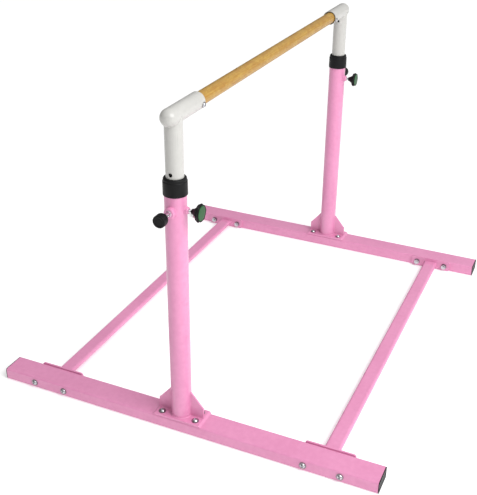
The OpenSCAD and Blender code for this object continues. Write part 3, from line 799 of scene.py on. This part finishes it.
for name, side in SIDES.items():
    button = placed(turned(pull_profile(), 128), side, (side, 0, 0))
    knob = build(f"{name}_pull_knob", [(button, False, True)], black_moulding, f"{name}_pin",
        sharp=50)
    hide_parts(f"{name}_pin_knob")

# %% [markdown]
# ## Pin springs
# Inside each pin's housing a coil spring drives the plunger into the post's hole. It is wound
# from one steel wire, and its first and last turns lie flat on their seats. The wire is a circle
# carried along a helix whose climb slows down at both ends. It can't truly ride on one body,
# since one end stays on the housing while the other follows the plunger; here it rides on the
# floor frame, with a mesh of its own.

# %% Wind the pin springs
WIRE_R = 0.45 * MM
COIL_TURNS = 5
SLOW_SHARE = 0.65


def coil(start, end, coil_r, steps=360, around=10):
    """P(a) = (R cos a, R sin a, h), where h climbs with the smooth step of the share of turns made."""
    share = np.linspace(0, 1, steps)
    climb = (1 - SLOW_SHARE) * share + SLOW_SHARE * share * share * (3 - 2 * share)
    angle = share * COIL_TURNS * 2 * np.pi
    height = start + WIRE_R + climb * (end - start - 2 * WIRE_R)
    out = np.stack([np.cos(angle), np.sin(angle), 0 * share], axis=1)
    centre = coil_r * out + height[:, None] * (0, 0, 1)
    a = (np.arange(around) * 2 * np.pi / around)[None, :, None]
    wire = centre[:, None] + WIRE_R * (np.cos(a) * out[:, None] + np.sin(a) * np.array((0, 0, 1)))
    return np.concatenate([centre[None, :1] + 0 * wire[:1], wire, centre[None, -1:] + 0 * wire[-1:]])


for name, side in SIDES.items():
    start, end = sorted(abs(corner.x) - axis_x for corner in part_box(f"{name}_pin_spring"))
    wire = placed(coil(start, end, half(f"{name}_pin_spring", "y") - WIRE_R), side, (side, 0, 0))
    spring = build(f"{name}_spring_coil", [(wire, False, True)], spring_wire, "floor_frame")
    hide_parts(f"{name}_pin_spring")
    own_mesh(spring)

# %% [markdown]
# ## Floor, light and camera
# The setting is a plain pale studio. The floor glows a little, as a sheet that is lit from
# behind does, and more so far away, where it fades to white. It also lights the frame from
# below. One wide soft light stands high at the front left, because a round tube only looks round
# when one side is brighter than the other. The sky is brighter above the front than above the
# back, and where the camera sees it, it is white.

# %% Lay the floor
FLOOR_HALF = 30.0
GLOW_NEAR, GLOW_FAR = (2.0, 0.22), (6.0, 0.34)
corners = [(-FLOOR_HALF, -FLOOR_HALF, 0), (FLOOR_HALF, -FLOOR_HALF, 0), (FLOOR_HALF, FLOOR_HALF, 0),
    (-FLOOR_HALF, FLOOR_HALF, 0)]
floor_mesh = bpy.data.meshes.new("floor")
floor_mesh.from_pydata(corners, [], [(0, 1, 2, 3)])
floor = bpy.data.objects.new("floor", floor_mesh)
bpy.context.scene.collection.objects.link(floor)
floor_paint, tree, principled = new_material("pale_floor", Base_Color=(0.95, 0.95, 0.95, 1), Roughness=0.8,
    Specular_IOR_Level=0.1, Emission_Strength=1.0)
far = add(tree, "ShaderNodeVectorMath", {0: place(tree)}, operation="LENGTH").outputs["Value"]
feed(tree, principled, Emission_Color=ranged(tree, far, GLOW_NEAR[0], GLOW_FAR[0], GLOW_NEAR[1], GLOW_FAR[1]))
floor_mesh.materials.append(floor_paint)
print("floor glow", GLOW_NEAR[1], "at", GLOW_NEAR[0], "m,", GLOW_FAR[1], "at", GLOW_FAR[0], "m")

# %% Light the studio
LIGHT_PLACE, LIGHT_TARGET = Vector((-1.3, -2.9, 3.2)), Vector((-0.1, -0.2, 0.1))
LIGHT_SIZE, LIGHT_WATTS = 2.4, 125
SKY_SLOPE = (0.02, -0.27, 0.56)
light = bpy.data.lights.new("key", "AREA")
light.shape, light.size, light.energy = "SQUARE", LIGHT_SIZE, LIGHT_WATTS
lamp = bpy.data.objects.new("key", light)
lamp.location = LIGHT_PLACE
lamp.rotation_mode = "QUATERNION"
lamp.rotation_quaternion = (LIGHT_TARGET - LIGHT_PLACE).to_track_quat("-Z", "Y")
bpy.context.scene.collection.objects.link(lamp)
world = bpy.data.worlds.new("studio")
bpy.context.scene.world = world
world.use_nodes = True
tree = world.node_tree
direction = add(tree, "ShaderNodeTexCoord").outputs["Generated"]
slope = add(tree, "ShaderNodeVectorMath", {0: direction, 1: SKY_SLOPE}, operation="DOT_PRODUCT")
bright = ranged(tree, slope.outputs["Value"], -0.15, 0.65, -0.06, 1.14)
seen = add(tree, "ShaderNodeLightPath").outputs["Is Camera Ray"]
sky = tree.nodes["Background"]
sky.inputs["Color"].default_value = (1, 1, 1, 1)
feed(tree, sky, Strength=maths(tree, "MAXIMUM", bright, seen))
bpy.context.scene.view_settings.view_transform = "Standard"
print("light", LIGHT_WATTS, "W,", LIGHT_SIZE, "m wide")

# %% [markdown]
# The camera stands to the left of the object and a little to its front, and looks down across
# it. Its three axes are worked out from its azimuth, elevation and a small roll, and become the
# columns of its matrix.

# %% Set up the camera
CAMERA_PLACE = (-2.388, -0.958, 1.633)
AZIMUTH, ELEVATION, ROLL = math.radians(-65.83), math.radians(27.76), math.radians(0.47)
SENSOR, LENS = 36.0, 61.578
back = Vector((math.sin(AZIMUTH) * math.cos(ELEVATION), -math.cos(AZIMUTH) * math.cos(ELEVATION),
    math.sin(ELEVATION)))
level = (-back).cross(Vector((0, 0, 1))).normalized()
above = back.cross(level)
right = level * math.cos(ROLL) + above * math.sin(ROLL)
up = above * math.cos(ROLL) - level * math.sin(ROLL)
camera_data = bpy.data.cameras.new("camera")
camera_data.sensor_width = SENSOR
camera_data.lens = LENS
camera_data.clip_end = 100
camera = bpy.data.objects.new("camera", camera_data)
camera.matrix_world = Matrix.Translation(CAMERA_PLACE) @ Matrix((right, up, back)).transposed().to_4x4()
bpy.context.scene.collection.objects.link(camera)
bpy.context.scene.camera = camera
print("camera at", CAMERA_PLACE, "lens", LENS, "mm")
